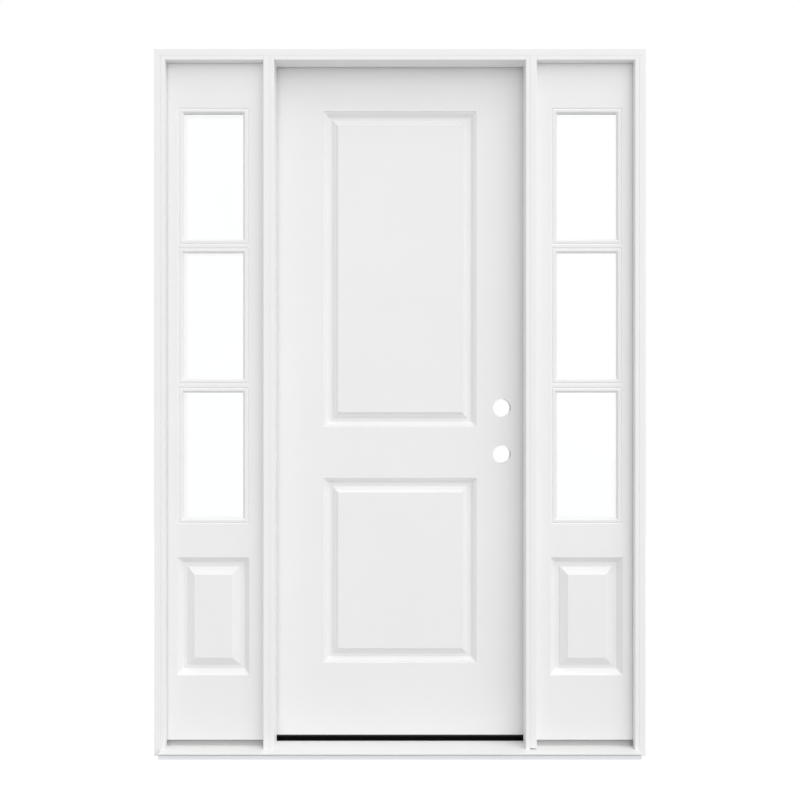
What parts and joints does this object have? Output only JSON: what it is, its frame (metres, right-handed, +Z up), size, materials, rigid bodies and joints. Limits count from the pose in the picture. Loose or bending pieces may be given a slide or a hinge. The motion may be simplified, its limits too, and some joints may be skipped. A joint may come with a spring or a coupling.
{
  "type": "entry door unit with sidelights",
  "caption": "Prehung inswing entry door with raised panels and lock bores, framed between two fixed sidelights with stacked glazed lites, on an aluminium sill.",
  "frame": {"origin": "underside of the sill, midway across the frame, in the plane of the jambs' outside edges", "axes": "+X to the right as seen from outside, +Y into the building, +Z up"},
  "size_m": [1.438, 0.1618, 2.067],
  "materials": {
    "frame_paint": "white satin paint over primed wood",
    "door_skin": "white satin paint on pressed steel",
    "lite_frame": "white satin moulding",
    "riser_vinyl": "grey satin",
    "sill_composite": "matt pale grey composite",
    "sill_aluminium": "white powder coat on aluminium",
    "black_vinyl": "matt black",
    "seal_foam": "soft white skin over foam",
    "stile_wood": "planed bare softwood",
    "block_pvc": "white expanded PVC",
    "foam_core": "rigid foam",
    "hinge_steel": "satin",
    "glass": "clear polished",
    "spacer_bar": "white coated bar"
  },
  "bodies": {
    "frame": {"left_jamb": "frame_paint", "right_jamb": "frame_paint", "head_jamb": "frame_paint", "left_mullion": "frame_paint", "right_mullion": "frame_paint", "left_door_stop": "frame_paint", "right_door_stop": "frame_paint", "head_door_stop": "frame_paint", "left_outer_stop": "frame_paint", "right_outer_stop": "frame_paint", "left_head_stop": "frame_paint", "right_head_stop": "frame_paint", "left_inner_stops": "frame_paint", "right_inner_stops": "frame_paint", "left_riser": "riser_vinyl", "right_riser": "riser_vinyl", "sill_base": "sill_composite", "sill_deck": "sill_aluminium", "threshold_cap": "black_vinyl", "door_weatherstrip": "seal_foam", "hinge_frame_leaves": "hinge_steel", "hinge_pins": "hinge_steel", "left_sidelight_exterior_skin": "door_skin", "left_sidelight_interior_skin": "door_skin", "left_sidelight_core": "foam_core", "left_lite_frames_exterior": "lite_frame", "left_lite_frames_interior": "lite_frame", "left_glass": "glass", "left_glass_spacers": "spacer_bar", "right_sidelight_exterior_skin": "door_skin", "right_sidelight_interior_skin": "door_skin", "right_sidelight_core": "foam_core", "right_lite_frames_exterior": "lite_frame", "right_lite_frames_interior": "lite_frame", "right_glass": "glass", "right_glass_spacers": "spacer_bar"},
    "door": {"door_exterior_skin": "door_skin", "door_interior_skin": "door_skin", "door_hinge_stile": "stile_wood", "door_lock_stile": "stile_wood", "door_top_rail": "stile_wood", "door_bottom_rail": "stile_wood", "door_lock_block": "block_pvc", "door_core": "foam_core", "door_sweep": "black_vinyl", "hinge_door_leaves": "hinge_steel"}
  },
  "joints": [
    {"name": "door_swing", "type": "hinge", "parent": "frame", "child": "door", "pos_m": [-0.3784, 0.1235, 0], "axis": [0, 0, 1], "range_deg": [0, 180]}
  ]
}
